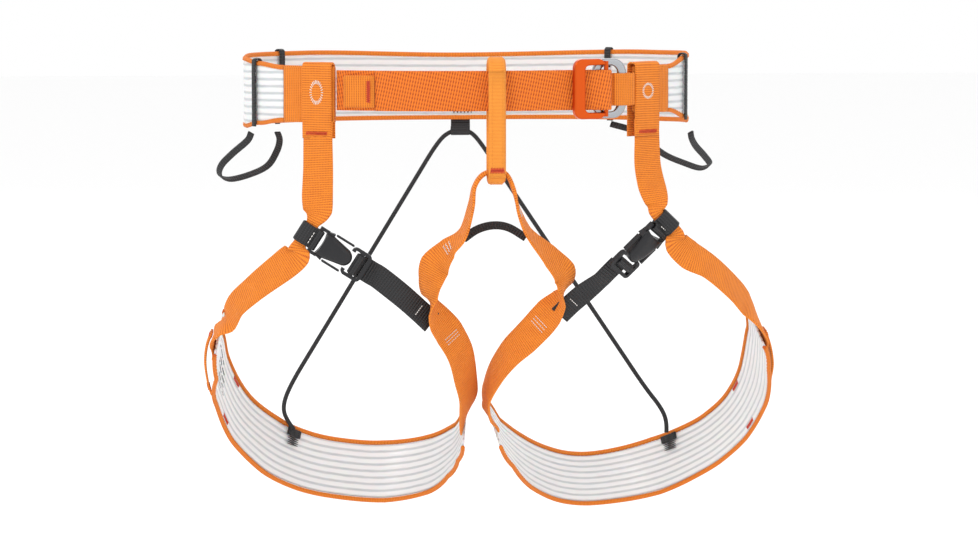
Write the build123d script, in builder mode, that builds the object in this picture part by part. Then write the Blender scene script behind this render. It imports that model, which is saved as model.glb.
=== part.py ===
from build123d import *
import math
import os

# Sit harness for glacier travel: a waist belt, two leg loops and a belay loop between them.
# Millimetres. +X is the wearer's left, +Y the wearer's back, +Z up.
# The origin is the centre of the waist ring, at the middle of the belt's height.

os.makedirs("parts", exist_ok=True)

# --- driving dimensions ---------------------------------------------------------------
belt_half_width = 147.0
belt_half_depth = 86.0
belt_centre_x = -7.0
belt_thickness = 1.8
edge_height = 3.3            # bound edge of the belt and of the leg bands
edge_thickness = 3.0
right_end_angle = 231.8      # belt ends, in degrees round the waist line from +X
right_cover_angle = 213.5
left_cover_angle = -29.0
left_end_angle = -45.0

web_wide = 26.0              # waist webbing
web_tape = 21.0              # riser and tie tape
web_black = 15.5             # leg adjusting strap
web_thickness = 1.6
strap_mid_z = 5.0
lap = 2.2                    # pitch of two webbing layers lying on each other

swing_z = -27.0              # height at which the leg loops hang from the belt
swing_gap = 1.0

leg_band_width = 37.0
leg_band_thickness = 1.6
cord_diameter = 3.0
SIDES = ("right", "left")


# --- shared helpers -------------------------------------------------------------------
def waist_point(angle, outward=0.0, z=0.0):
    """A point on the oval waist line, or a distance outside it."""
    t = math.radians(angle)
    normal = Vector(math.cos(t) / belt_half_width, math.sin(t) / belt_half_depth).normalized()
    x = belt_centre_x + belt_half_width * math.cos(t) + outward * normal.X
    return Vector(x, belt_half_depth * math.sin(t) + outward * normal.Y, z)


def waist_plane(angle, outward=0.0, z=0.0):
    """Section plane across the belt: its x points outward, its y points up."""
    t = math.radians(angle)
    out = Vector(math.cos(t) / belt_half_width, math.sin(t) / belt_half_depth).normalized()
    return Plane(origin=waist_point(angle, outward, z), x_dir=out, z_dir=out.cross(Vector(0, 0, 1)))


def front_angle(x):
    """Angle of the point on the front half of the waist line at this x."""
    return -math.degrees(math.acos((x - belt_centre_x) / belt_half_width))


# heights of the belt's lower and upper edge at angles round the waist
belt_edges = ((232, -16, 20.5), (213.5, -16.5, 20.5), (200, -19.5, 22.5), (186, -22.5, 24.5),
              (165, -22.5, 25.7), (135, -22.7, 25.5), (90, -23, 22.8), (30, -22, 26),
              (0, -21, 26.8), (-14, -17, 25.3), (-29, -11.5, 20), (-46, -10, 20))


def belt_height(angle):
    """Lower and upper edge of the belt at an angle, eased between the listed places."""
    for (a, low_a, high_a), (b, low_b, high_b) in zip(belt_edges, belt_edges[1:]):
        if b <= angle <= a:
            s = (a - angle) / (a - b)
            s = s * s * (3 - 2 * s)
            return low_a + (low_b - low_a) * s, high_a + (high_b - high_a) * s
    raise ValueError(angle)


def angles_between(start, end, step=6.0):
    count = max(2, math.ceil(abs(end - start) / step))
    return [start + (end - start) * i / count for i in range(count + 1)]


def belt_band(start, end, thickness, low_of, high_of, outward=0.0):
    """A band that follows the waist line between two angles, added to the open part."""
    sections = []
    for angle in angles_between(start, end):
        low, high = low_of(angle), high_of(angle)
        with BuildSketch(waist_plane(angle, outward, (low + high) / 2)) as section:
            Rectangle(thickness, high - low)
        sections.append(section.sketch)
    loft(sections, ruled=True)


def smooth(stations, steps):
    """Centre, across, along, width and thickness at even steps between the stations.

    A station is (centre, across) or (centre, across, width, thickness); the centre line is a
    Catmull-Rom curve through the centres and the rest changes evenly.
    """
    centres = [Vector(*s[0]) for s in stations]
    across = [Vector(*s[1]).normalized() for s in stations]
    sizes = [s[2:] if len(s) > 2 else (1.0, 1.0) for s in stations]
    first = centres[0] * 2 - centres[1]
    last = centres[-1] * 2 - centres[-2]
    line = [first, *centres, last]
    rows = []
    for i in range(len(centres) - 1):
        p0, p1, p2, p3 = line[i:i + 4]
        for k in range(steps):
            t = k / steps
            point = ((p1 * 2) + (p2 - p0) * t + (p0 * 2 - p1 * 5 + p2 * 4 - p3) * t * t
                     + (p1 * 3 - p0 - p2 * 3 + p3) * t ** 3) * 0.5
            slope = ((p2 - p0) + (p0 * 2 - p1 * 5 + p2 * 4 - p3) * 2 * t
                     + (p1 * 3 - p0 - p2 * 3 + p3) * 3 * t * t)
            side = across[i] * (1 - t) + across[i + 1] * t
            size = [a * (1 - t) + b * t for a, b in zip(sizes[i], sizes[i + 1])]
            rows.append((point, side, slope, *size))
    rows.append((centres[-1], across[-1], last - centres[-2], *sizes[-1]))
    done = []
    for point, side, slope, wide, thick in rows:
        along = slope.normalized()
        side = (side - along * side.dot(along)).normalized()
        done.append((point, side, along, wide, thick))
    return done


def tape(stations, width, thickness, steps=2, shift=0.0, proud=0.0):
    """Woven tape through the stations, added to the open part.

    shift moves it across itself and proud moves it off its own face.
    """
    sections = []
    for point, side, along, wide, thick in smooth(stations, steps):
        face = along.cross(side)
        with BuildSketch(Plane(origin=point + side * shift + face * proud,
                               x_dir=side, z_dir=along)) as section:
            Rectangle(width * wide, thickness * thick)
        sections.append(section.sketch)
    loft(sections, ruled=True)


# --- waist belt: clear laminate band with bound edges and webbing end covers ----------
with BuildPart() as waist_belt_panel:
    belt_band(right_cover_angle, left_cover_angle, belt_thickness,
              lambda a: belt_height(a)[0] + edge_height, lambda a: belt_height(a)[1] - edge_height)
with BuildPart() as waist_belt_edging_top:
    belt_band(right_cover_angle, left_cover_angle, edge_thickness,
              lambda a: belt_height(a)[1] - edge_height, lambda a: belt_height(a)[1])
with BuildPart() as waist_belt_edging_bottom:
    belt_band(right_cover_angle, left_cover_angle, edge_thickness,
              lambda a: belt_height(a)[0], lambda a: belt_height(a)[0] + edge_height)
with BuildPart() as belt_end_cover_right:
    belt_band(right_end_angle, right_cover_angle + 0.1, edge_thickness,
              lambda a: belt_height(a)[0], lambda a: belt_height(a)[1])
with BuildPart() as belt_end_cover_left:
    belt_band(left_cover_angle - 0.1, left_end_angle, edge_thickness,
              lambda a: belt_height(a)[0], lambda a: belt_height(a)[1])

# --- waist buckle ---------------------------------------------------------------------
# Two rounded frames lie on each other in a plane that touches the waist line.
# Along this plane s runs to the wearer's left, n runs outward.
buckle_angle = front_angle(72.0)
buckle_origin = waist_point(buckle_angle)
buckle_out = waist_plane(buckle_angle).x_dir
buckle_along = Vector(0, 0, 1).cross(buckle_out)
buckle_mid_z = 5.7
frame_height = 39.0
ring_left, ring_right, ring_bar = -5.0, 19.5, 5.5
ring_side, ring_corner = 6.0, 9.5
ring_low, ring_high = 1.2, 4.2
slider_left, slider_bar = -20.0, 8.0
tilt_s, tilt_n = 3.4, 6.6        # axis of the slider's round bar
tilt_radius = 1.5
frame_arm = 4.2


def buckle_point(s, n, z=0.0):
    """A point of the waist buckle, s along it and n outward."""
    return buckle_origin + buckle_along * s + buckle_out * n + Vector(0, 0, z)


def buckle_face(n):
    """Plane of the frames at a height n above the waist line."""
    return Plane(origin=buckle_point(0, n, buckle_mid_z), x_dir=buckle_along, z_dir=buckle_out)


with BuildPart() as buckle_ring:
    with BuildSketch(buckle_face(ring_low)):
        with Locations(((ring_left + ring_right) / 2, 0)):
            RectangleRounded(ring_right - ring_left, frame_height, ring_corner)
            with Locations((-0.5 * (ring_side - ring_bar), 0)):
                RectangleRounded(ring_right - ring_left - ring_bar - ring_side, frame_height - 9.0, 5.5,
                                 mode=Mode.SUBTRACT)
    extrude(amount=ring_high - ring_low)
    fillet(buckle_ring.edges().group_by(Axis(buckle_origin, buckle_out))[0]
           + buckle_ring.edges().group_by(Axis(buckle_origin, buckle_out))[-1], radius=1.2)

slider_low = tilt_n - 1.8
with BuildPart() as buckle_slider:
    with BuildSketch(buckle_face(slider_low)):
        with Locations(((slider_left + tilt_s) / 2, 0)):
            RectangleRounded(tilt_s - slider_left, frame_height, 6.0)
        with Locations(((slider_left + slider_bar + tilt_s + 8) / 2, 0)):
            RectangleRounded(tilt_s + 8 - slider_left - slider_bar, frame_height - 2 * frame_arm,
                             3.0, mode=Mode.SUBTRACT)
    extrude(amount=3.6)
    fillet(buckle_slider.edges().group_by(Axis(buckle_origin, buckle_out))[-1], radius=1.1)
    bar_foot = buckle_point(tilt_s, tilt_n, buckle_mid_z - frame_height / 2 + 1.5)
    with BuildSketch(Plane(origin=bar_foot, x_dir=buckle_along, z_dir=(0, 0, 1))):
        Circle(tilt_radius)
    extrude(amount=frame_height - 3.0)

# --- waist strap: out from the right belt end, behind both frames, round the slider's
#     bar and back over itself to a stitched stop --------------------------------------
strap_start_x = -96.8
strap_tail_x = -72.0
strap_turn_s = 6.2


def strap_stations(points):
    """Upright tape stations from points on the strap's middle line, at the strap's height."""
    return [((p.X, p.Y, strap_mid_z), (0, 0, 1)) for p in points]


under_run = [waist_point(front_angle(x)) for x in (strap_start_x, -80, -60, -30, 0, 25, 45)]
turn_run = [buckle_point(s, n) for s, n in (
    (-7, 0), (0, 0), (3.6, 0.1), (5.5, 0.8), (strap_turn_s, 2.6), (strap_turn_s, 4.8),
    (strap_turn_s, 7.0), (5.4, 8.8), (3.4, 9.4), (0.8, 9.1), (-3, 7.3), (-8, 4.6), (-12, 3.4))]
over_run = [waist_point(front_angle(x), lap) for x in (50, 35, 15, -10, -40, -60, strap_tail_x)]
with BuildPart() as waist_strap:
    tape(strap_stations(under_run + turn_run + over_run), web_wide, web_thickness)

stop_height = 21.0
with BuildPart() as strap_end_stop:
    stop_low, stop_high = strap_mid_z - 0.5 - stop_height / 2, strap_mid_z - 0.5 + stop_height / 2
    belt_band(front_angle(strap_tail_x - 0.2), front_angle(-91.5), 2.8,
              lambda a: stop_low, lambda a: stop_high, outward=lap + 0.1)

anchor_reach = 8.7
with BuildPart() as buckle_anchor_web:
    with BuildSketch(Plane.XY.offset(strap_mid_z - web_tape / 2)):
        with BuildLine():
            FilletPolyline(waist_point(left_end_angle - 0.6, -1.1), buckle_point(20, -1.1),
                           buckle_point(anchor_reach, -0.8), buckle_point(anchor_reach, 6.2),
                           buckle_point(18, 6.2), waist_point(left_end_angle - 0.6, 2.2),
                           radius=(8, 2.6, 2.6, 6))
        trace(line_width=web_thickness)
    extrude(amount=web_tape)

# --- risers: webbing folded over each belt end; the lower run carries a leg loop ------
fold_at = {"right": front_angle(-108.2), "left": front_angle(103.7)}
fold_gap = edge_thickness / 2 + 0.6
riser_folds = {}
for side in SIDES:
    fold_plane = waist_plane(fold_at[side])
    along_belt = Vector(0, 0, 1).cross(fold_plane.x_dir)
    section = Plane(origin=waist_point(fold_at[side]) - along_belt * (web_tape / 2),
                    x_dir=fold_plane.x_dir, z_dir=along_belt)
    top = belt_height(fold_at[side] % 360 if side == "right" else fold_at[side])[1] + 0.8
    front = 5.0 if side == "left" else fold_gap + 0.8
    back = -fold_gap - 0.8
    with BuildPart() as riser_fold:
        with BuildSketch(section):
            with BuildLine():
                FilletPolyline((front - 0.2, swing_z + swing_gap / 2), (front, 0), (front, top + 0.8),
                               (back, top + 0.8), (back, swing_z + swing_gap / 2),
                               radius=(20, 1.6, 1.6))
            trace(line_width=web_thickness)
        extrude(amount=web_tape)
    riser_folds[side] = riser_fold

# --- leg buckle frames ----------------------------------------------------------------
# Local frame: x from the riser towards the middle of the body, y across, z off the thigh.
buckle_frames = {
    "right": Plane(origin=(-111, -77.5, -91.2), x_dir=(84.5, 4, -53.3), z_dir=(0.3, -99, -7)),
    "left": Plane(origin=(111.5, -78, -86.9), x_dir=(-72, 16, -66), z_dir=(38, -80, -49))}
loop_twist = {"right": 0.0, "left": 30.0}     # turn of the riser's eye about x
riser_eye_x = -7.6


def on_buckle(side, z=0.0):
    """Plane parallel to a leg buckle's face, at a height above its middle."""
    return buckle_frames[side].offset(z)


def buckle_upright(side, y):
    """Plane that cuts a leg buckle lengthways at a distance y from its middle."""
    frame = buckle_frames[side]
    return Plane(origin=frame.origin + frame.y_dir * y, x_dir=frame.x_dir,
                 z_dir=frame.y_dir * -1)


def eye_frame(side):
    """Frame of the eye that the riser passes through."""
    return buckle_frames[side].rotated((loop_twist[side], 0, 0))


def riser_in_eye(side, y, sign=1):
    """Centre of the riser at a distance y from the middle of its eye, and its direction across."""
    frame = eye_frame(side)
    return tuple(frame.origin + frame.x_dir * riser_eye_x + frame.y_dir * y), tuple(frame.x_dir * sign)


# (centre, across, width share, thickness share): gathered where it runs through the black loop
riser_runs = {
    "right": (((-109, -65, swing_z - swing_gap / 2), (87, -49, 0), 1, 2.0),
              ((-109, -67, -44), (90, -44, 0), 1, 1.6),
              ((-109.8, -72, -62), (92, -36, -8), 1, 1),
              ((-110, -76.2, -73), (88, -20, -42), 0.9, 1.2),
              (*riser_in_eye("right", 8.0), 0.42, 1.8),
              (*riser_in_eye("right", -8.0), 0.42, 1.8),
              ((-123.5, -77, -100.5), (80, -20, -56), 0.9, 1.2),
              ((-130, -74.5, -106.5), (62, -44, -65), 1, 1.1),
              ((-141, -69, -115.5), (50, -60, -62), 1, 1),
              ((-152, -63, -125), (42, -70, -56), 1, 1),
              ((-162, -56, -135), (40, -79, -47), 1, 1),
              ((-167, -49, -146), (43, -89, -13), 1, 1),
              ((-172.6, -44, -151.5), (10, -98, -10), 1, 1), ((-176, -37, -157), (-10, -99, -8), 1, 1),
              ((-175.7, -25, -166), (-10, -99, -10), 1, 1)),
    "left": (((106.5, -60, swing_z - swing_gap / 2), (83, 56, 0), 1, 2.0),
             ((106.5, -63, -44), (86, 50, 0), 1, 1.6),
             ((108.6, -70, -58.5), (84, 48, 20), 1, 1),
             ((111, -76.5, -69), (76, 16, 52), 0.7, 1.3),
             (*riser_in_eye("left", -8.0, -1), 0.42, 1.8),
             (*riser_in_eye("left", 8.0, -1), 0.42, 1.8),
             ((124, -76.5, -95), (58, 26, 74), 0.86, 1.2),
             ((132.5, -73.5, -103), (45, 40, 78), 1, 1.1),
             ((144, -69, -109.5), (44, 68, 59), 1, 1),
             ((156, -63, -119), (44, 75, 50), 1, 1),
             ((166, -56, -128.5), (47, 81, 36), 1, 1),
             ((174, -49, -138), (44, 84, 33), 1, 1),
             ((182.5, -43, -149), (16, 96, 14), 1, 1), ((187, -35, -157.5), (-4, 99, 5), 1, 1),
             ((188.8, -24, -166.5), (-10, 99, 8), 1, 1))}
riser_straps = {}
for side in SIDES:
    with BuildPart() as riser_strap:
        tape(riser_runs[side], web_tape, web_thickness)
    riser_straps[side] = riser_strap

# --- leg bands: laminate with bound edges, in the sling under each thigh --------------
band_runs = {
    "right": (((-172.5, -32, -156), (-13, -99, -7)), ((-173, -18, -171.5), (-9, -99, -12)),
              ((-170, 10, -192), (-28, -91, -31)), ((-157.5, 36, -220), (-38, -78, -49)),
              ((-136, 57, -242), (-31, -52, -80)), ((-114, 71, -254.5), (-20, -42, -88)),
              ((-89, 80, -261.5), (-8, -40, -91)), ((-57, 83, -264.5), (6, -36, -93)),
              ((-28, 71, -258.5), (6, -55, -83)), ((-13, 49, -246), (-5, -80, -60)),
              ((-8, 26, -232), (-10, -88, -46)), ((-7.5, 6, -220), (-9, -88, -46))),
    "left": (((183.5, -31, -155), (3, -99, -5)), ((187, -18, -171), (15, -98, -11)),
             ((188, 10, -197), (30, -93, -22)), ((181, 34, -221), (30, -84, -44)),
             ((167, 53, -239.5), (25, -75, -58)), ((150, 66, -252), (17, -65, -71)),
             ((130, 77, -262), (12, -56, -82)), ((105, 84, -269), (5, -62, -78)),
             ((80, 82, -271), (-6, -67, -74)), ((58, 70, -266), (-14, -73, -67)),
             ((38, 50, -254.5), (-16, -83, -53)), ((22, 28, -238.5), (-6, -93, -36)),
             ((11.5, 8, -222.5), (-3, -95, -32)))}
edge_shift = leg_band_width / 2 + 0.15 + edge_height / 2
leg_panels, leg_edges_upper, leg_edges_lower = {}, {}, {}
for side in SIDES:
    with BuildPart() as leg_panel:
        tape(band_runs[side], leg_band_width, leg_band_thickness)
    with BuildPart() as leg_edge_upper:
        tape(band_runs[side], edge_height, edge_thickness, shift=-edge_shift)
    with BuildPart() as leg_edge_lower:
        tape(band_runs[side], edge_height, edge_thickness, shift=edge_shift)
    leg_panels[side] = leg_panel
    leg_edges_upper[side] = leg_edge_upper
    leg_edges_lower[side] = leg_edge_lower

# --- small loops sewn on the outside of each leg band ---------------------------------
tab_width = 12.0
tab_runs = {"right": (((-176.8, -16, -156), (0, 1, 0)), ((-180.4, -15, -166), (0, 1, 0)),
                      ((-181.5, -14, -178), (0, 1, 0)), ((-179.5, -12, -192), (0, 1, 0)),
                      ((-177.6, -11, -198), (0, 1, 0))),
            "left": (((191, -16, -158), (0, 1, 0)), ((195, -14, -170), (0, 1, 0)),
                     ((196.8, -12, -181), (0, 1, 0)), ((196, -10, -190), (0, 1, 0)),
                     ((194.2, -9, -197), (0, 1, 0)))}
side_tabs = {}
for side in SIDES:
    with BuildPart() as side_tab:
        tape(tab_runs[side], tab_width, web_thickness)
    side_tabs[side] = side_tab

# --- tie strap: one tape from leg band to leg band, up through the belay loop ---------
tie_run = (((-8.5, 6, -222), (13, 99, 9), 1, 1), ((-6.7, -14, -204), (49, 87, 0), 1, 1),
           ((-9.9, -30, -187), (63, 77, -5), 1, 1), ((-14.6, -44, -170), (79, 61, 12), 1, 1),
           ((-22.5, -54, -155.5), (86, 40, 33), 1, 1), ((-30, -61.5, -145.5), (72, 68, 12), 1, 1),
           ((-34.5, -66, -137), (40, 90, 4), 1, 1), ((-36.8, -68, -130), (-40, 91, 0), 1, 1),
           ((-36.8, -70, -120.5), (-62, 76, 5), 1, 1), ((-33.6, -74, -109), (-86, 42, -28), 1, 1),
           ((-25, -78, -97.5), (-58, 80, -10), 1, 1), ((-16, -82, -87.5), (-14, 98, 12), 1, 1),
           ((-11, -85, -70), (-9, 99, 10), 0.85, 1.1), ((-9, -86.5, -57), (0, 1, 0), 0.55, 1.6),
           ((-3.5, -86.8, -49), (0, 1, 0), 0.36, 2.0), ((5, -86.8, -46.9), (0, 1, 0), 0.36, 2.0),
           ((11.8, -86.8, -49), (0, 1, 0), 0.36, 2.0), ((16.5, -86.5, -59), (0, 1, 0), 0.55, 1.6),
           ((20.3, -85.5, -74), (15, 99, 8), 0.85, 1.1), ((27.5, -82, -88.5), (25, 96, 12), 1, 1),
           ((41, -78, -103), (50, 80, 30), 1, 1), ((51, -73, -115), (76, 62, 10), 1, 1),
           ((51.5, -70, -124.5), (46, 88, 5), 1, 1), ((48.5, -67.5, -132), (-40, 90, 14), 1, 1),
           ((42, -64.5, -141), (-76, 54, 36), 1, 1), ((36, -60, -149), (-78, 40, 48), 1, 1),
           ((27.5, -54, -159), (-70, 52, 48), 1, 1), ((17.5, -45, -170), (-50, 72, 47), 1, 1),
           ((9.5, -33, -184), (-33, 88, 32), 1, 1), ((5, -18, -199), (-12, 98, 15), 1, 1),
           ((6.5, -4, -213), (-3, 100, 6), 1, 1), ((11, 6, -221), (0, 100, 0), 1, 1))
with BuildPart() as leg_tie_strap:
    tape(tie_run, web_tape, web_thickness)

spacer_width = 6.2
spacer_run = (((-15, -71, -92), (0, 60, 80), 1, 1), ((-5.5, -68.5, -86), (0, 60, 80), 1, 1),
              ((5, -67.5, -83.5), (0, 60, 80), 1, 1), ((15, -68.5, -85), (0, 60, 80), 1, 1),
              ((26, -71, -91.5), (0, 60, 80), 1, 1))
with BuildPart() as leg_spacer_elastic:
    tape(spacer_run, spacer_width, web_thickness)

# --- belay loop: sleeved webbing ring round the waist strap and the tie strap ---------
belay_x, belay_width = 5.1, 11.4
belay_y = -86.8
belay_top, belay_bottom = 27.2, -55.6
belay_outer, belay_wall = 9.8, 4.0
with BuildPart() as belay_loop:
    with BuildSketch(Plane(origin=(belay_x - belay_width / 2, belay_y, (belay_top + belay_bottom) / 2),
                           x_dir=(0, 0, 1), z_dir=(1, 0, 0))):
        RectangleRounded(belay_top - belay_bottom, 2 * belay_outer, belay_outer - 0.1)
        RectangleRounded(belay_top - belay_bottom - 2 * belay_wall, 2 * (belay_outer - belay_wall),
                         belay_outer - belay_wall - 0.1, mode=Mode.SUBTRACT)
    extrude(amount=belay_width)
    fillet(belay_loop.edges().group_by(Axis.X)[0] + belay_loop.edges().group_by(Axis.X)[-1],
           radius=1.3)

# --- leg buckles ----------------------------------------------------------------------
socket_thickness = 5.0
shoulder_x, shoulder_half = 9.0, 9.8
shield_half, nose_half, nose_x = 8.0, 5.0, 26.5
bar_half_thickness = 1.6
window_half = 7.9
arm_tip_x, arm_root_x, arm_centre_y, arm_thickness = 10.0, 23.4, 9.5, 1.4
plug_start, plug_end, plug_half = 23.6, 37.8, 10.0
plug_windows = ((26.0, 29.2), (32.4, 35.5))
strap_depth = -4.6
slide_travel = 14.0


loop_width = 14.0
loops, sockets, plugs, wraps, leg_straps = {}, {}, {}, {}, {}
arms = {}
for side in SIDES:
    with BuildPart() as buckle_loop:
        # webbing with two eyes: one round the riser, one round the socket's bar
        with BuildSketch(buckle_upright(side, loop_width / 2)):
            with Locations((-0.6, 0)):
                RectangleRounded(6.6, 7.0, 3.0)
        extrude(amount=loop_width)
        turned = eye_frame(side)
        with BuildSketch(Plane(origin=turned.origin + turned.y_dir * (loop_width / 2),
                               x_dir=turned.x_dir, z_dir=turned.y_dir * -1)):
            with Locations((riser_eye_x, 0)):
                RectangleRounded(12.4, 8.0, 3.4)
        extrude(amount=loop_width)
        with BuildSketch(Plane(origin=turned.origin + turned.y_dir * (loop_width / 2 + 2),
                               x_dir=turned.x_dir, z_dir=turned.y_dir * -1)):
            with Locations((riser_eye_x, 0)):
                RectangleRounded(9.6, 5.2, 1.8)
        extrude(amount=loop_width + 4, mode=Mode.SUBTRACT)
        with BuildSketch(buckle_upright(side, loop_width / 2 + 2)):
            with Locations((-0.3, 0)):
                RectangleRounded(3.3, 4.2, 1.1)
        extrude(amount=loop_width + 4, mode=Mode.SUBTRACT)
    loops[side] = buckle_loop

    with BuildPart() as socket:
        with BuildSketch(on_buckle(side, -socket_thickness / 2)):
            with BuildLine():
                Polyline((nose_x - 3.0, -nose_half), (shoulder_x, -shield_half),
                         (shoulder_x, -shoulder_half), (3.6, -8.6))
                ThreePointArc((3.6, -8.6), (4.8, 0), (3.6, 8.6))
                Polyline((3.6, 8.6), (shoulder_x, shoulder_half), (shoulder_x, shield_half),
                         (nose_x - 3.0, nose_half))
                ThreePointArc((nose_x - 3.0, nose_half), (nose_x, 0), (nose_x - 3.0, -nose_half))
            make_face()
        extrude(amount=socket_thickness)
        with BuildSketch(on_buckle(side, -bar_half_thickness)):
            for sign in (-1, 1):
                with Locations((1.8, sign * 8.5)):
                    Rectangle(6.6, 2.0)
            with Locations((-0.25, 0)):
                Rectangle(2.5, 18.0)
        extrude(amount=2 * bar_half_thickness)
    sockets[side] = socket

    with BuildPart() as plug:
        with BuildSketch(on_buckle(side, -bar_half_thickness)):
            with Locations(((plug_start + plug_end) / 2, 0)):
                RectangleRounded(plug_end - plug_start, 2 * plug_half, 3.0)
            for low, high in plug_windows:
                with Locations(((low + high) / 2, 0)):
                    Rectangle(high - low, 2 * window_half, mode=Mode.SUBTRACT)
            with Locations((nose_x - 1.8, 0)):
                Rectangle(4.2, 2 * nose_half + 2.6, mode=Mode.SUBTRACT)
        extrude(amount=2 * bar_half_thickness)
    plugs[side] = plug

    for name, sign in (("upper", 1), ("lower", -1)):
        with BuildPart() as arm:
            with BuildSketch(on_buckle(side, -1.4)):
                with Locations(((arm_tip_x + arm_root_x) / 2, sign * arm_centre_y)):
                    RectangleRounded(arm_root_x - arm_tip_x, arm_thickness, 0.6)
            extrude(amount=2.8)
        arms[name, side] = arm

    with BuildPart() as strap_wrap:
        with BuildSketch(buckle_upright(side, web_black / 2 - 0.6)):
            with Locations((30.8, 0)):
                RectangleRounded(6.2, 6.4, 2.2)
                RectangleRounded(3.7, 3.7, 0.2, mode=Mode.SUBTRACT)
        extrude(amount=web_black - 1.2)
    wraps[side] = strap_wrap

# the adjusting strap is straight as far as the plug travels, then bends to the tie strap
strap_ends = {"right": (((-54.5, -71, -129), (54, 20, 80)), ((-44.5, -68, -138), (60, 25, 75)),
                        ((-35, -64, -147), (66, 25, 70))),
              "left": (((64.5, -68.5, -128), (50, 40, -76)), ((56.5, -67, -135), (55, 40, -72)),
                       ((48.5, -65, -143), (58, 40, -70)))}
for side in SIDES:
    frame = buckle_frames[side]
    straight = []
    for reach in (33.5, 43.0, 36.0 + slide_travel):
        spot = frame.origin + frame.x_dir * reach + frame.z_dir * strap_depth
        straight.append(((spot.X, spot.Y, spot.Z), tuple(frame.y_dir)))
    with BuildPart() as leg_strap:
        tape([*straight, *strap_ends[side]], web_black, 1.5, steps=1)
    leg_straps[side] = leg_strap

# --- gear loops: tape over the belt, hanging in a bow between two places --------------
gear_tape, gear_thickness = 4.6, 1.6
gear_places = {"right": (198.0, 146.0), "left": (-16.0, 46.0)}
gear_tabs = {}
for side in SIDES:
    for name, angle in zip(("front", "rear"), gear_places[side]):
        low, high = belt_height(angle)
        plane = waist_plane(angle)
        along_belt = Vector(0, 0, 1).cross(plane.x_dir)
        section = Plane(origin=waist_point(angle) - along_belt * (gear_tape / 2),
                        x_dir=plane.x_dir, z_dir=along_belt)
        off = edge_thickness / 2 + 1.0
        with BuildPart() as gear_tab:
            with BuildSketch(section):
                with BuildLine():
                    FilletPolyline((off, low - 1.0), (off, high + 0.9), (-off, high + 0.9),
                                   (-off, high - 12), radius=1.4)
                trace(line_width=1.2)
            extrude(amount=gear_tape)
        gear_tabs[name, side] = gear_tab

gear_runs = {
    "right": (((-150.8, -27.3, -24.6), (-74, 23, 59), 1, 1), ((-153.5, -26, -30), (-74, 23, 59), 1, 1),
              ((-163, -17, -39), (-74, 23, 59), 1, 1), ((-170, -10, -47), (-74, 23, 59), 1, 1),
              ((-171, -2, -54), (-74, 23, 59), 1, 1), ((-164, 6, -57.5), (-74, 23, 59), 1, 1),
              ((-150, 17, -55), (-74, 23, 59), 1, 1), ((-138, 29, -50), (-74, 23, 59), 1, 1),
              ((-131.5, 39, -41), (-74, 23, 59), 1, 1), ((-129.3, 45.8, -34), (-74, 23, 59), 1, 1),
              ((-130.6, 49.6, -28.9), (-74, 23, 59), 1, 1)),
    "left": (((140, -23.2, -26), (72, 18, 66), 1, 1), ((141.2, -20.5, -30.5), (72, 18, 66), 1, 1),
             ((145, -13, -36), (72, 18, 66), 1, 1), ((152.5, -2, -43.5), (72, 18, 66), 1, 1),
             ((157, 7, -49.5), (72, 18, 66), 1, 1), ((152, 16, -52.5), (72, 18, 66), 1, 1),
             ((143, 27, -50), (72, 18, 66), 1, 1), ((131, 41, -45), (72, 18, 66), 1, 1),
             ((121, 54, -37), (72, 18, 66), 1, 1), ((112.5, 61.5, -30), (72, 18, 66), 1, 1),
             ((97, 66, -25.4), (72, 18, 66), 1, 1))}
gear_loops = {}
for side in SIDES:
    with BuildPart() as gear_loop:
        tape(gear_runs[side], gear_tape, gear_thickness, steps=2)
    gear_loops[side] = gear_loop

# --- rear elastic cord: through a tab at the back of the belt, down to both leg bands --
cord_route = ((-119.5, 67.8, -232.6), (-123, 66, -228.5), (-127.5, 68.5, -218.5),
              (-122, 77.5, -204.5), (-18.6, 91.3, -37.5), (-10.5, 91.3, -31.3),
              (-3.8, 91.3, -30.6), (2.8, 91.3, -31.3), (9.6, 91.3, -38), (122.5, 80, -207.5),
              (134, 77, -222), (137.5, 74.5, -231.5), (136.8, 72.3, -238.3))
corners = [Vector(*p) for p in cord_route]
cord_radii = []
for before, here, after in zip(corners, corners[1:], corners[2:]):
    turn = (here - before).get_angle(after - here)
    shorter = min((here - before).length, (after - here).length)
    cord_radii.append(0.45 * shorter / math.tan(math.radians(turn / 2)))
print("cord arc radii", [round(r, 1) for r in cord_radii])
with BuildPart() as rear_cord:
    with BuildLine() as cord_path:
        FilletPolyline(*cord_route, radius=cord_radii)
    with BuildSketch(Plane(origin=corners[0], z_dir=corners[1] - corners[0])):
        Circle(cord_diameter / 2)
    sweep()
cord_length = cord_path.wire().length
print("cord length", round(cord_length, 1), "volume share",
      round(rear_cord.part.volume / (math.pi * cord_diameter ** 2 / 4 * cord_length), 4))

tab_x, rear_tab_width = -3.8, 13.0
with BuildPart() as rear_cord_tab:
    with BuildSketch(Plane(origin=(tab_x - rear_tab_width / 2, belt_half_depth, 0),
                           x_dir=(0, 1, 0), z_dir=(1, 0, 0))):
        with Locations((2.6, -23.8)):
            Rectangle(1.4, 9.6)
        with Locations((5.2, -30.8)):
            RectangleRounded(7.0, 7.0, 3.4)
            Circle(cord_diameter / 2 + 0.9, mode=Mode.SUBTRACT)
    extrude(amount=rear_tab_width)

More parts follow.
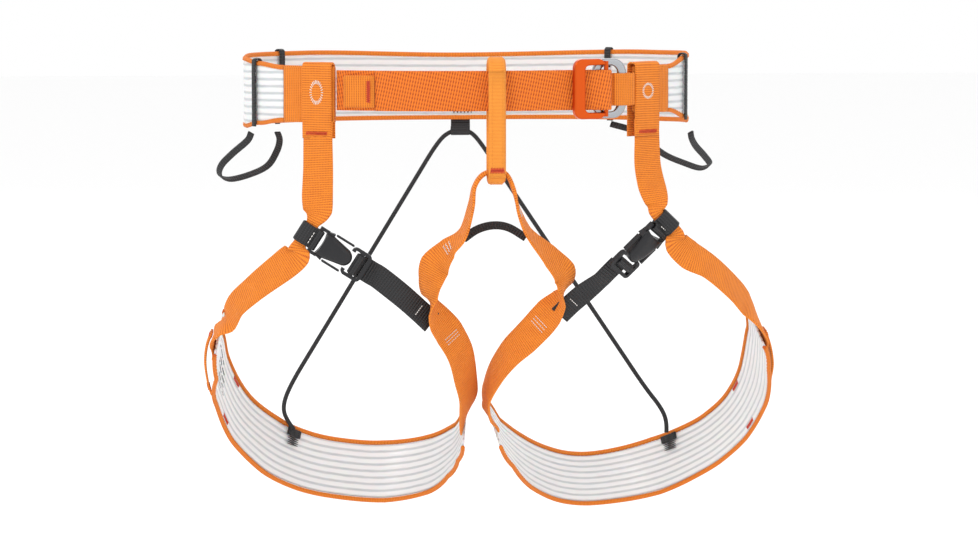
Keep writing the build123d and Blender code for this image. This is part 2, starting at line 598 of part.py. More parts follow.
# short black anchors on the inner face of the leg bands hold the cord's ends
anchor_runs = {"right": 4, "left": 5}
patch_length, patch_width, patch_thickness, patch_lift = 12.0, 9.0, 1.4, 2.3
cord_anchors = {}
for side in SIDES:
    rows = smooth(band_runs[side], 4)
    point, across_band, along_band = rows[4 * anchor_runs[side] + 2][:3]
    face = along_band.cross(across_band)
    inward = -1 if side == "right" else 1
    spot = point - across_band * (leg_band_width / 2 - patch_width / 2) + face * (patch_lift * inward)
    with BuildPart() as cord_anchor:
        with BuildSketch(Plane(origin=spot, x_dir=along_band, z_dir=face)):
            RectangleRounded(patch_length, patch_width, 1.5)
        extrude(amount=patch_thickness / 2, both=True)
    cord_anchors[side] = cord_anchor

# --- labels and files -----------------------------------------------------------------
pieces = {
    "waist_belt_panel": waist_belt_panel, "waist_belt_edging_top": waist_belt_edging_top,
    "waist_belt_edging_bottom": waist_belt_edging_bottom, "belt_end_cover_right": belt_end_cover_right,
    "belt_end_cover_left": belt_end_cover_left, "waist_strap": waist_strap,
    "strap_end_stop": strap_end_stop, "buckle_ring": buckle_ring, "buckle_slider": buckle_slider,
    "buckle_anchor_web": buckle_anchor_web, "leg_tie_strap": leg_tie_strap,
    "leg_spacer_elastic": leg_spacer_elastic, "belay_loop": belay_loop, "rear_cord": rear_cord,
    "rear_cord_tab": rear_cord_tab}
for side in SIDES:
    pieces |= {
        f"riser_fold_{side}": riser_folds[side], f"riser_strap_{side}": riser_straps[side],
        f"leg_band_{side}": leg_panels[side], f"leg_edging_upper_{side}": leg_edges_upper[side],
        f"leg_edging_lower_{side}": leg_edges_lower[side], f"side_tab_{side}": side_tabs[side],
        f"buckle_loop_{side}": loops[side], f"leg_buckle_socket_{side}": sockets[side],
        f"leg_buckle_plug_{side}": plugs[side], f"strap_wrap_{side}": wraps[side],
        f"leg_buckle_arm_upper_{side}": arms["upper", side],
        f"leg_buckle_arm_lower_{side}": arms["lower", side],
        f"leg_strap_{side}": leg_straps[side], f"gear_tab_front_{side}": gear_tabs["front", side],
        f"gear_tab_rear_{side}": gear_tabs["rear", side], f"gear_loop_{side}": gear_loops[side],
        f"cord_anchor_{side}": cord_anchors[side]}
for name, piece in pieces.items():
    piece.part.label = name
    export_step(piece.part, f"parts/{name}.step")
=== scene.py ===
import math
import bpy
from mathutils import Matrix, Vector


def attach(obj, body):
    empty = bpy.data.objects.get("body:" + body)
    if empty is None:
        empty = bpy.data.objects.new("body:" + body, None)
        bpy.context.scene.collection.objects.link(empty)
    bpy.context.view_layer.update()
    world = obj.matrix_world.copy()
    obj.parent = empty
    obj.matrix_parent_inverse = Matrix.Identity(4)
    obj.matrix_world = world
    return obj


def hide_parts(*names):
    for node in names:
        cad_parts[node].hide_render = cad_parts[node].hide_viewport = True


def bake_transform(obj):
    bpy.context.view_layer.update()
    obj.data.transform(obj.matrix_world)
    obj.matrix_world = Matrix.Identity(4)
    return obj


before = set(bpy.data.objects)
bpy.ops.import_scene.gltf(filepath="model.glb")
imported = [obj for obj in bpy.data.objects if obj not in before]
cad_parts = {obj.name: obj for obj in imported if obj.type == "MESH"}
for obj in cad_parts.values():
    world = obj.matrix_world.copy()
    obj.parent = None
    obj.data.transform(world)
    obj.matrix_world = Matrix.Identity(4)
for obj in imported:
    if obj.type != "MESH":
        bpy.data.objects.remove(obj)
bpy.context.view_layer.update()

# --- camera and studio ----------------------------------------------------------------
# A long lens a little above the belt looks at the front of the harness from its own right.
# Floor and surroundings are pale and the light is broad and soft.
camera_data = bpy.data.cameras.new("camera")
camera_data.lens = 165.6
camera_data.sensor_width = 36.0
camera_data.clip_end = 100.0
camera = bpy.data.objects.new("camera", camera_data)
bpy.context.scene.collection.objects.link(camera)
camera.location = (-0.2524, -2.9763, 0.1498)
camera.rotation_euler = (Vector((0.00804, 0.0, -0.1221)) - camera.location).to_track_quat(
    "-Z", "Y").to_euler()
bpy.context.scene.camera = camera
bpy.context.scene.view_settings.view_transform = "Standard"


def plain(name, colour, roughness, metallic=0.0):
    """A new node material and its shader."""
    material = bpy.data.materials.new(name)
    material.use_nodes = True
    shader = material.node_tree.nodes["Principled BSDF"]
    shader.inputs["Base Color"].default_value = (*colour, 1.0)
    shader.inputs["Roughness"].default_value = roughness
    shader.inputs["Metallic"].default_value = metallic
    return material, shader


floor_half, floor_height = 8.0, -0.36
floor_mesh = bpy.data.meshes.new("floor")
floor_mesh.from_pydata([(x * floor_half, y * floor_half, floor_height) for x, y in (
    (-1, -1), (1, -1), (1, 1), (-1, 1))], [], [(0, 1, 2, 3)])
floor = bpy.data.objects.new("floor", floor_mesh)
bpy.context.scene.collection.objects.link(floor)
floor_mesh.materials.append(plain("floor_paper", (0.97, 0.97, 0.97), 0.95)[0])

world = bpy.data.worlds.new("studio")
bpy.context.scene.world = world
world.use_nodes = True
world.node_tree.nodes["Background"].inputs["Color"].default_value = (1.0, 1.0, 1.0, 1.0)
world.node_tree.nodes["Background"].inputs["Strength"].default_value = 1.0
for name, place, size, power in (("key", (-1.7, -2.0, 2.4), 1.1, 34.0),
                                 ("fill", (2.2, -1.8, 0.8), 1.8, 7.0),
                                 ("back", (0.3, 2.4, 1.8), 2.0, 16.0)):
    light = bpy.data.lights.new(name, "AREA")
    light.size = size
    light.energy = power
    lamp = bpy.data.objects.new(name, light)
    lamp.location = place
    lamp.rotation_euler = (Vector((0, 0, -0.12)) - lamp.location).to_track_quat("-Z", "Y").to_euler()
    bpy.context.scene.collection.objects.link(lamp)

# --- rear elastic cord ----------------------------------------------------------------
# Braided elastic cord, 3 mm thick, from one leg band up through a tab at the back of the
# belt and down to the other. Its ends are caught under small anchors sewn to the bands.
cord_diameter = 0.003
cord_route = ((-119.5, 67.8, -232.6), (-123, 66, -228.5), (-127.5, 68.5, -218.5), (-122, 77.5, -204.5),
              (-105, 79.5, -177), (-35, 89, -64), (-18.6, 91.3, -37.5), (-10.5, 91.3, -31.3),
              (-3.8, 91.3, -30.6), (2.8, 91.3, -31.3), (9.6, 91.3, -38), (28, 89.5, -66),
              (105, 82, -181), (122.5, 80, -207.5), (134, 77, -222), (137.5, 74.5, -231.5),
              (136.8, 72.3, -238.3))


ribs_per_mm = 0.314        # wave texture scale that repeats once in each millimetre


def textured(name, colour, dark_dye_and_groove_shade, roughness, along, across, depth, lean=0.0, sheen=0.0, spots=0.25,
             coat=0.0):
    """Cloth: ribs across and along it in millimetres of its own UVs, with painted shade in the grooves
    between the ribs, uneven dye and a soft sheen.
    """
    material, shader = plain(name, colour, roughness)
    nodes, links = material.node_tree.nodes, material.node_tree.links
    shader.inputs["Sheen Weight"].default_value = sheen
    shader.inputs["Sheen Roughness"].default_value = 0.4
    shader.inputs["Coat Weight"].default_value = coat
    uv = nodes.new("ShaderNodeUVMap")
    turn = nodes.new("ShaderNodeMapping")
    turn.inputs["Rotation"].default_value[2] = math.radians(lean)
    links.new(uv.outputs["UV"], turn.inputs["Vector"])
    waves = []
    for direction, pitch in (("Y", along), ("X", across)):
        wave = nodes.new("ShaderNodeTexWave")
        wave.bands_direction = direction
        wave.inputs["Scale"].default_value = ribs_per_mm / pitch
        wave.inputs["Distortion"].default_value = 0.6
        wave.inputs["Detail"].default_value = 1.0
        wave.inputs["Detail Scale"].default_value = 0.6
        links.new(turn.outputs["Vector"], wave.inputs["Vector"])
        waves.append(wave)
    both = nodes.new("ShaderNodeMath")
    both.operation = "MULTIPLY_ADD"
    both.inputs[1].default_value = 0.45
    links.new(waves[1].outputs["Fac"], both.inputs[0])
    links.new(waves[0].outputs["Fac"], both.inputs[2])
    noise = nodes.new("ShaderNodeTexNoise")
    noise.inputs["Scale"].default_value = 0.12
    noise.inputs["Detail"].default_value = 3.0
    links.new(uv.outputs["UV"], noise.inputs["Vector"])
    shade = nodes.new("ShaderNodeMath")
    shade.operation = "MULTIPLY_ADD"
    shade.inputs[1].default_value = spots
    links.new(noise.outputs["Fac"], shade.inputs[0])
    links.new(both.outputs["Value"], shade.inputs[2])
    # The ramp paints shade: its dark colour falls in the grooves between the ribs, where the rib height is
    # low, and also marks the uneven dye; rib tops take the cloth colour.
    ramp = nodes.new("ShaderNodeValToRGB")
    ramp.color_ramp.elements[0].position = 0.15
    ramp.color_ramp.elements[0].color = (*dark_dye_and_groove_shade, 1.0)
    ramp.color_ramp.elements[1].position = 1.1 if spots > 0.5 else 0.95
    ramp.color_ramp.elements[1].color = (*colour, 1.0)
    links.new(shade.outputs["Value"], ramp.inputs["Fac"])
    links.new(ramp.outputs["Color"], shader.inputs["Base Color"])
    bump = nodes.new("ShaderNodeBump")
    bump.inputs["Strength"].default_value = 0.7
    bump.inputs["Distance"].default_value = depth
    links.new(both.outputs["Value"], bump.inputs["Height"])
    links.new(bump.outputs["Normal"], shader.inputs["Normal"])
    return material


def build(name, verts, faces, uvs, material, smooth=True):
    """A mesh object from points in metres and UVs in millimetres, one UV for each point."""
    mesh = bpy.data.meshes.new(name)
    mesh.from_pydata([tuple(v) for v in verts], [], faces)
    layer = mesh.uv_layers.new(name="UVMap")
    for loop in mesh.loops:
        layer.data[loop.index].uv = uvs[loop.vertex_index]
    mesh.materials.append(material)
    if smooth:
        mesh.shade_smooth()
    item = bpy.data.objects.new(name, mesh)
    bpy.context.scene.collection.objects.link(item)
    return item


cord_curve = bpy.data.curves.new("rear_cord_route", "CURVE")
cord_curve.dimensions = "3D"
cord_curve.resolution_u = 12
spline = cord_curve.splines.new("NURBS")
spline.points.add(len(cord_route) - 1)
for point, place in zip(spline.points, cord_route):
    point.co = (*(c / 1000 for c in place), 1.0)
spline.order_u = 3
spline.use_endpoint_u = True
route_object = bpy.data.objects.new("rear_cord_route", cord_curve)
bpy.context.scene.collection.objects.link(route_object)
bpy.context.view_layer.update()
route_mesh = bpy.data.meshes.new_from_object(route_object)
cord_line = [Vector(v.co) for v in route_mesh.vertices]
bpy.data.objects.remove(route_object)


def tube(line, radius, sides=10):
    """Points, faces and UVs of a round tube along a line of points."""
    verts, faces, uvs = [], [], []
    side = Vector((0, 1, 0))
    far = 0.0
    for i, p in enumerate(line):
        along = (line[min(i + 1, len(line) - 1)] - line[max(i - 1, 0)]).normalized()
        side = (side - along * side.dot(along)).normalized()
        up = along.cross(side)
        far += (p - line[i - 1]).length if i else 0.0
        for k in range(sides):
            turn = 2 * math.pi * k / sides
            verts.append(p + (side * math.cos(turn) + up * math.sin(turn)) * radius)
            uvs.append((k / sides * 2000 * math.pi * radius, far * 1000))
        if i:
            a, b = (i - 1) * sides, i * sides
            faces += [(a + k, a + (k + 1) % sides, b + (k + 1) % sides, b + k) for k in range(sides)]
    last = (len(line) - 1) * sides
    faces += [tuple(reversed(range(sides))), tuple(range(last, last + sides))]
    return verts, faces, uvs


braid = textured("braided_cord", (0.012, 0.013, 0.015), (0.003, 0.003, 0.004), 0.65, 1.2, 1.2, 0.0002,
                 lean=35, sheen=0.03)
rear_cord = build("rear_elastic_cord", *tube(cord_line, cord_diameter / 2), braid)
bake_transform(rear_cord)
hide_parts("rear_cord")

# --- waist belt: clear laminate panel -------------------------------------------------
# A milky laminate with load strands running round it as fine ridges, 1.8 mm thick.
# It is open at the front and its long edges are bound.
belt_half_width, belt_half_depth, belt_centre_x = 147.0, 86.0, -7.0
right_end, right_cover, left_cover, left_end = 231.8, 213.5, -29.0, -45.0
belt_edges = ((232, -16, 20.5), (213.5, -16.5, 20.5), (200, -19.5, 22.5), (186, -22.5, 24.5),
              (165, -22.5, 25.7), (135, -22.7, 25.5), (90, -23, 22.8), (30, -22, 26),
              (0, -21, 26.8), (-14, -17, 25.3), (-29, -11.5, 20), (-46, -10, 20))
binding_height = 3.3


def waist_point(angle, outward=0.0, z=0.0):
    """A point on the oval waist line, or outside it, in millimetres, and the way outward."""
    t = math.radians(angle)
    out = Vector((math.cos(t) / belt_half_width, math.sin(t) / belt_half_depth, 0)).normalized()
    return Vector((belt_centre_x + belt_half_width * math.cos(t), belt_half_depth * math.sin(t), z)
                  ) + out * outward, out


def belt_height(angle):
    for (a, low_a, high_a), (b, low_b, high_b) in zip(belt_edges, belt_edges[1:]):
        if b <= angle <= a:
            s = (a - angle) / (a - b)
            s = s * s * (3 - 2 * s)
            return low_a + (low_b - low_a) * s, high_a + (high_b - high_a) * s


def belt_rows(start, end, low_of, high_of, outward=0.0, step=1.5):
    """Rows of a band round the waist line: centre, across, along, distance, half width, thickness."""
    count = max(2, round(abs(end - start) / step))
    rows, far, before = [], 0.0, None
    for i in range(count + 1):
        angle = start + (end - start) * i / count
        low, high = low_of(angle), high_of(angle)
        centre, out = waist_point(angle, outward, (low + high) / 2)
        far += (centre - before).length if before else 0.0
        before = centre
        rows.append((centre, Vector((0, 0, 1)), out.cross(Vector((0, 0, 1))), far, (high - low) / 2, 1.0))
    return rows


def smooth_rows(stations, half, steps=5):
    """Rows of a tape through stations (centre, across, width share, thickness share)."""
    centres = [Vector(s[0]) for s in stations]
    across = [Vector(s[1]).normalized() for s in stations]
    sizes = [s[2:] if len(s) > 2 else (1.0, 1.0) for s in stations]
    line = [centres[0] * 2 - centres[1], *centres, centres[-1] * 2 - centres[-2]]
    raw = []
    for i in range(len(centres) - 1):
        p0, p1, p2, p3 = line[i:i + 4]
        for k in range(steps + (i == len(centres) - 2)):
            t = k / steps
            point = (p1 * 2 + (p2 - p0) * t + (p0 * 2 - p1 * 5 + p2 * 4 - p3) * t * t
                     + (p1 * 3 - p0 - p2 * 3 + p3) * t ** 3) * 0.5
            slope = (p2 - p0) + (p0 * 2 - p1 * 5 + p2 * 4 - p3) * (2 * t) + (
                p1 * 3 - p0 - p2 * 3 + p3) * (3 * t * t)
            size = [a * (1 - t) + b * t for a, b in zip(sizes[i], sizes[i + 1])]
            raw.append((point, across[i] * (1 - t) + across[i + 1] * t, slope.normalized(), *size))
    rows, far = [], 0.0
    for i, (point, side, along, wide, thick) in enumerate(raw):
        far += (point - raw[i - 1][0]).length if i else 0.0
        rows.append((point, (side - along * side.dot(along)).normalized(), along, far, half * wide, thick))
    return rows


def skin(name, rows, thickness, material, shift=0.0, proud=0.0, ridges=0, ridge=0.0, ripple=0.0,
         half=None, bow=0.0):
    """A closed band along the rows, in millimetres, with rounded edges; ridges run along it."""
    cells = max(8, ridges * 4)
    verts, faces, uvs = [], [], []
    for point, side, along, far, wide, thick in rows:
        face = along.cross(side)
        wide = wide if half is None else half
        deep = thickness * thick / 2
        centre = point + side * shift + face * proud
        flat = max(wide - deep, 0.2)
        profile = [(-flat - deep, 0.0), (-flat - deep * 0.7, deep * 0.7)]
        for c in range(cells + 1):
            x = -flat + 2 * flat * c / cells
            lump = ridge * (0.5 - 0.5 * math.cos(2 * math.pi * ridges * c / cells)) if ridges else 0.0
            profile.append((x, deep + lump))
        profile.append((flat + deep * 0.7, deep * 0.7))
        profile += [(x, -y) for x, y in reversed(profile)]
        profile[len(profile) // 2] = (flat + deep, 0.0)
        profile = profile[:-1] if abs(profile[-1][1]) < 1e-9 else profile
        for x, y in profile:
            wave = ripple * math.sin(far * 0.19 + x * 0.25) + bow * (1 - (x / (wide + 0.01)) ** 2)
            verts.append((centre + side * x + face * (y + wave)) / 1000)
            uvs.append((x, far))
        n = len(profile)
    for i in range(len(rows) - 1):
        a, b = i * n, (i + 1) * n
        faces += [(a + k, b + k, b + (k + 1) % n, a + (k + 1) % n) for k in range(n)]
    last = (len(rows) - 1) * n
    faces += [tuple(range(n)), tuple(reversed(range(last, last + n)))]
    return build(name, verts, faces, uvs, material)


strand_pitch = 4.6


def clear_laminate(name):
    """Milky laminate: paler strands run along it and the film between them is greyer."""
    material, shader = plain(name, (0.9, 0.91, 0.91), 0.4)
    nodes, links = material.node_tree.nodes, material.node_tree.links
    shader.inputs["Transmission Weight"].default_value = 0.12
    shader.inputs["Subsurface Weight"].default_value = 0.15
    shader.inputs["Subsurface Scale"].default_value = 0.002
    shader.inputs["Coat Weight"].default_value = 0.2
    uv = nodes.new("ShaderNodeUVMap")
    wave = nodes.new("ShaderNodeTexWave")
    wave.bands_direction = "X"
    wave.inputs["Scale"].default_value = ribs_per_mm / strand_pitch
    wave.inputs["Distortion"].default_value = 0.25
    links.new(uv.outputs["UV"], wave.inputs["Vector"])
    stretch = nodes.new("ShaderNodeMapping")
    stretch.inputs["Scale"].default_value = (2.6, 0.12, 1.0)
    links.new(uv.outputs["UV"], stretch.inputs["Vector"])
    strands = nodes.new("ShaderNodeTexNoise")
    strands.inputs["Scale"].default_value = 1.0
    strands.inputs["Detail"].default_value = 4.0
    links.new(stretch.outputs["Vector"], strands.inputs["Vector"])
    mix = nodes.new("ShaderNodeMath")
    mix.operation = "MULTIPLY_ADD"
    mix.inputs[1].default_value = 0.7
    links.new(strands.outputs["Fac"], mix.inputs[0])
    links.new(wave.outputs["Fac"], mix.inputs[2])
    ramp = nodes.new("ShaderNodeValToRGB")
    ramp.color_ramp.elements[0].position = 0.25
    ramp.color_ramp.elements[0].color = (0.5, 0.53, 0.55, 1.0)
    ramp.color_ramp.elements[1].position = 0.9
    ramp.color_ramp.elements[1].color = (0.86, 0.87, 0.87, 1.0)
    links.new(mix.outputs["Value"], ramp.inputs["Fac"])
    links.new(ramp.outputs["Color"], shader.inputs["Base Color"])
    bump = nodes.new("ShaderNodeBump")
    bump.inputs["Strength"].default_value = 0.5
    bump.inputs["Distance"].default_value = 0.0003
    links.new(mix.outputs["Value"], bump.inputs["Height"])
    links.new(bump.outputs["Normal"], shader.inputs["Normal"])
    return material


laminate = clear_laminate("clear_laminate")
belt_panel = skin("waist_belt_laminate", belt_rows(
    right_cover, left_cover, lambda a: belt_height(a)[0] + 2.4, lambda a: belt_height(a)[1] - 2.4),
    1.2, laminate, ridges=8, ridge=0.3)
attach(belt_panel, "waist")
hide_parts("waist_belt_panel")

# --- waist belt: bound edges ----------------------------------------------------------
# Orange tape folded over the belt's top and bottom edges and sewn through, with a row of
# thread showing near its inner edge.
binding = textured("orange_binding", (0.78, 0.215, 0.012), (0.5, 0.075, 0.003), 0.8, 1.1, 0.8, 0.0002,
                   sheen=0.04)
thread_orange = textured("orange_thread", (0.84, 0.3, 0.03), (0.6, 0.13, 0.008), 0.7, 0.5, 0.5, 0.0001)


def stitch_mesh(name, stitches, radius, material):
    """Raised stitches in one mesh; each is (start, end, way out of the cloth), in millimetres."""
    verts, faces, uvs = [], [], []
    for start, end, out in stitches:
        along = (end - start).normalized()
        side = along.cross(out).normalized()
        for s, swell in ((0.0, 0.35), (0.2, 1.0), (0.8, 1.0), (1.0, 0.35)):
            p = start.lerp(end, s)
            for k in range(6):
                turn = math.pi * k / 3
                verts.append((p + (side * math.cos(turn) + out * math.sin(turn) * 0.8)
                              * radius * swell) / 1000)
                uvs.append((k * 0.3, s))
        base = len(verts) - 24
        for r in range(3):
            faces += [(base + r * 6 + k, base + r * 6 + (k + 1) % 6, base + r * 6 + 6 + (k + 1) % 6,
                       base + r * 6 + 6 + k) for k in range(6)]
        faces += [tuple(base + k for k in reversed(range(6))), tuple(base + 18 + k for k in range(6))]
    return build(name, verts, faces, uvs, material)


def on_face(rows, distance, x, lift):
    """Point on a tape at a distance along it and x across it, and the three directions there."""
    for a, b in zip(rows, rows[1:]):
        if distance <= b[3]:
            break
    s = (distance - a[3]) / max(b[3] - a[3], 1e-6)
    side, along = a[1].lerp(b[1], s).normalized(), a[2].lerp(b[2], s).normalized()
    face = along.cross(side)
    return a[0].lerp(b[0], s) + side * x + face * lift, along, side, face


def seam(rows, x, lift, pitch=2.6, share=0.7, start=0.0, end=None):
    """A row of stitches along a tape at x across it; a negative lift puts it on the back."""
    end = rows[-1][3] if end is None else end
    stitches, s = [], start
    while s + pitch < end:
        a, _, _, out = on_face(rows, s, x, lift)
        b = on_face(rows, s + pitch * share, x, lift)[0]
        stitches.append((a, b, out))
        s += pitch
    return stitches


def tack(rows, distance, x, length, height, lift, count=9, turned=False):
    """A bar tack: dense zigzag, length across the tape and height along it, or turned."""
    zigzag = []
    for i in range(count + 1):
        s, t = (i / count - 0.5), (0.5 if i % 2 else -0.5)
        across, along = (t * length, s * height) if turned else (s * length, t * height)
        zigzag.append(on_face(rows, distance + along, x + across, lift))
    return [(a[0], b[0], a[3]) for a, b in zip(zigzag, zigzag[1:])]


for name, low_of, high_of in (
        ("top", lambda a: belt_height(a)[1] - binding_height, lambda a: belt_height(a)[1]),
        ("bottom", lambda a: belt_height(a)[0], lambda a: belt_height(a)[0] + binding_height)):
    rows = belt_rows(right_cover, left_cover, low_of, high_of)
    edge = skin(f"waist_belt_binding_{name}", rows, 2.7, binding)
    inner = -0.9 if name == "top" else 0.9
    thread = stitch_mesh(f"waist_belt_binding_{name}_thread",
                         seam(rows, inner, 1.32) + seam(rows, inner, -1.32), 0.22, thread_orange)
    for item in (edge, thread):
        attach(item, "waist")
    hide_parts(f"waist_belt_edging_{name}")

# --- waist belt: webbing covers over its front ends -----------------------------------
# Each belt end is closed by a band of orange webbing with fine cross ribs, sewn along its
# inner edge with two rows of thread.
webbing = textured("orange_webbing", (0.86, 0.245, 0.014), (0.4, 0.045, 0.002), 0.8, 1.5, 1.1, 0.0005,
                   sheen=0.04, spots=0.5)
for name, start, end in (("right", right_end, right_cover), ("left", left_cover, left_end)):
    rows = belt_rows(start, end, lambda a: belt_height(a)[0], lambda a: belt_height(a)[1])
    cover = skin(f"belt_end_cover_{name}_cloth", rows, 2.7, webbing, ripple=0.08)
    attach(cover, "waist")
    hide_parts(f"belt_end_cover_{name}")
    line = 2.0 if name == "left" else rows[-1][3] - 2.0
    marks = []
    for offset in (0.0, 2.2 if name == "left" else -2.2):
        half = rows[0][4] - 2
        at = -half
        while at < half:
            a = on_face(rows, line + offset, at, 1.45)
            marks.append((a[0], on_face(rows, line + offset, at + 1.8, 1.45)[0], a[3]))
            at += 2.6
    thread = stitch_mesh(f"belt_end_cover_{name}_thread", marks, 0.24, thread_orange)
    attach(thread, "waist")

# --- waist strap ----------------------------------------------------------------------
# Orange herringbone webbing, 26 mm wide. It runs from the right belt end behind both frames
# of the buckle, round the slider's bar and back over itself to a stitched stop.
strap_mid_z, strap_half = 5.0, 13.0
buckle_angle = -math.degrees(math.acos((72 - belt_centre_x) / belt_half_width))
buckle_origin, buckle_out = waist_point(buckle_angle)
buckle_along = Vector((0, 0, 1)).cross(buckle_out)


def front_angle(x):
    return -math.degrees(math.acos((x - belt_centre_x) / belt_half_width))


def buckle_point(s, n, z=0.0):
    """A point of the waist buckle: s along it and n outward."""
    return buckle_origin + buckle_along * s + buckle_out * n + Vector((0, 0, z))


def upright(points):
    return [((p.x, p.y, strap_mid_z), (0, 0, 1)) for p in points]


under_run = [waist_point(front_angle(x))[0] for x in (-96.8, -80, -60, -30, 0, 25, 45)]
turn_run = [buckle_point(s, n) for s, n in (
    (-7, 0), (0, 0), (3.6, 0.1), (5.5, 0.8), (6.2, 2.6), (6.2, 4.8), (6.2, 7.0), (5.4, 8.8),
    (3.4, 9.4), (0.8, 9.1), (-3, 7.3), (-8, 4.6), (-12, 3.4))]
over_run = [waist_point(front_angle(x), 2.2)[0] for x in (50, 35, 15, -10, -40, -60, -72)]
herringbone = textured("herringbone_webbing", (0.84, 0.195, 0.01), (0.36, 0.035, 0.002), 0.8, 1.7, 2.6,
                       0.0005, lean=12, sheen=0.04)
strap_rows = smooth_rows(upright(under_run + turn_run + over_run), strap_half)
waist_strap = skin("waist_strap_webbing", strap_rows, 1.5, herringbone, ripple=0.06)
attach(waist_strap, "waist")
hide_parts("waist_strap")

# --- strap end stop -------------------------------------------------------------------
# The strap's tail is folded back on itself and bar tacked, so it can't pull through the
# buckle; the fold stands proud with its ribs upright.
tack_red = textured("red_tack_thread", (0.62, 0.045, 0.01), (0.35, 0.02, 0.005), 0.6, 0.5, 0.5, 0.0001)
stop_rows = belt_rows(front_angle(-72.2), front_angle(-91.5), lambda a: -6.0, lambda a: 15.0, 2.3)
stop = skin("strap_end_stop_fold", stop_rows, 2.6, webbing, ripple=0.12, bow=0.2)
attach(stop, "waist")
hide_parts("strap_end_stop")
marks = stitch_mesh("strap_end_stop_tack", tack(stop_rows, 4.0, 0.0, 14.0, 3.0, -1.55, 22)
                    + tack(stop_rows, 4.0, 0.0, 14.0, 3.0, 1.55, 22), 0.3, tack_red)
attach(marks, "waist")

# --- waist buckle: bright ring --------------------------------------------------------
# A rounded rectangular ring of bright aluminium, sewn to the left belt end by its anchor
# web; it is brushed, with softened edges.
silver, shader = plain("brushed_aluminium", (0.38, 0.39, 0.41), 0.24, 1.0)
nodes, links = silver.node_tree.nodes, silver.node_tree.links
grain_place = nodes.new("ShaderNodeTexCoord")
grain = nodes.new("ShaderNodeTexNoise")
grain.inputs["Scale"].default_value = 900.0
links.new(grain_place.outputs["Object"], grain.inputs["Vector"])
scratch = nodes.new("ShaderNodeBump")
scratch.inputs["Strength"].default_value = 0.12
scratch.inputs["Distance"].default_value = 0.0002
links.new(grain.outputs["Fac"], scratch.inputs["Height"])
links.new(scratch.outputs["Normal"], shader.inputs["Normal"])


def keep_cad(node, material):
    """Give a CAD node, shown as it is, a new material and smooth shading."""
    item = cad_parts[node]
    item.data.materials.clear()
    item.data.materials.append(material)
    item.data.shade_smooth()


keep_cad("buckle_ring", silver)

# --- waist buckle: orange slider ------------------------------------------------------
# An orange anodised aluminium frame that lies over the ring and clamps the strap between
# them; its left bar is broad and chamfered.
anodised, shader = plain("orange_anodised", (0.62, 0.085, 0.008), 0.3, 0.85)
nodes, links = anodised.node_tree.nodes, anodised.node_tree.links
place = nodes.new("ShaderNodeTexCoord")
blotch = nodes.new("ShaderNodeTexNoise")
blotch.inputs["Scale"].default_value = 260.0
links.new(place.outputs["Object"], blotch.inputs["Vector"])
satin = nodes.new("ShaderNodeBump")
satin.inputs["Strength"].default_value = 0.1
satin.inputs["Distance"].default_value = 0.0002
links.new(blotch.outputs["Fac"], satin.inputs["Height"])
links.new(satin.outputs["Normal"], shader.inputs["Normal"])
keep_cad("buckle_slider", anodised)

# --- buckle anchor web ----------------------------------------------------------------
# 21 mm orange webbing folded round the ring's bar and sewn between the left cover's
# layers; its ribs are fine and run across it.
tape_half = 10.5
anchor_line = [waist_point(left_end - 0.6, -1.1)[0], buckle_point(24, -1.1), buckle_point(17, -1.1),
               buckle_point(12, -1.0), buckle_point(9.4, -0.2), buckle_point(8.7, 1.6),
               buckle_point(8.7, 3.6), buckle_point(9.6, 5.6), buckle_point(12, 6.2),
               buckle_point(17, 6.1), buckle_point(24, 4.6), waist_point(left_end - 0.6, 2.2)[0]]
anchor = skin("buckle_anchor_webbing", smooth_rows(upright(anchor_line), tape_half), 1.5, webbing)
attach(anchor, "waist")
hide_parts("buckle_anchor_web")

# --- risers ---------------------------------------------------------------------------
# 21 mm orange webbing folded over each belt end, sewn with a ring of white thread and a bar
# tack; the lower run carries the leg loop and passes through the black buckle loop.
buckle_frames = {"right": ((-111, -77.5, -91.2), (84.5, 4, -53.3), (0.3, -99, -7)),
                 "left": ((111.5, -78, -86.9), (-72, 16, -66), (38, -80, -49))}
loop_twist = {"right": 0.0, "left": 30.0}
axes = {}
for side, (origin, x_dir, z_dir) in buckle_frames.items():
    z = Vector(z_dir).normalized()
    x = Vector(x_dir)
    x = (x - z * x.dot(z)).normalized()
    axes[side] = (Vector(origin), x, z.cross(x), z)


def local(side, x, y, z, twist=0.0):
    """A point of a leg buckle: x towards the body's middle, y across it, z off the thigh."""
    origin, ax, ay, az = axes[side]
    t = math.radians(twist)
    return origin + ax * x + (ay * math.cos(t) + az * math.sin(t)) * y + (
        az * math.cos(t) - ay * math.sin(t)) * z


def in_eye(side, y, sign=1):
    return tuple(local(side, -7.6, y, 0, loop_twist[side])), tuple(axes[side][1] * sign)


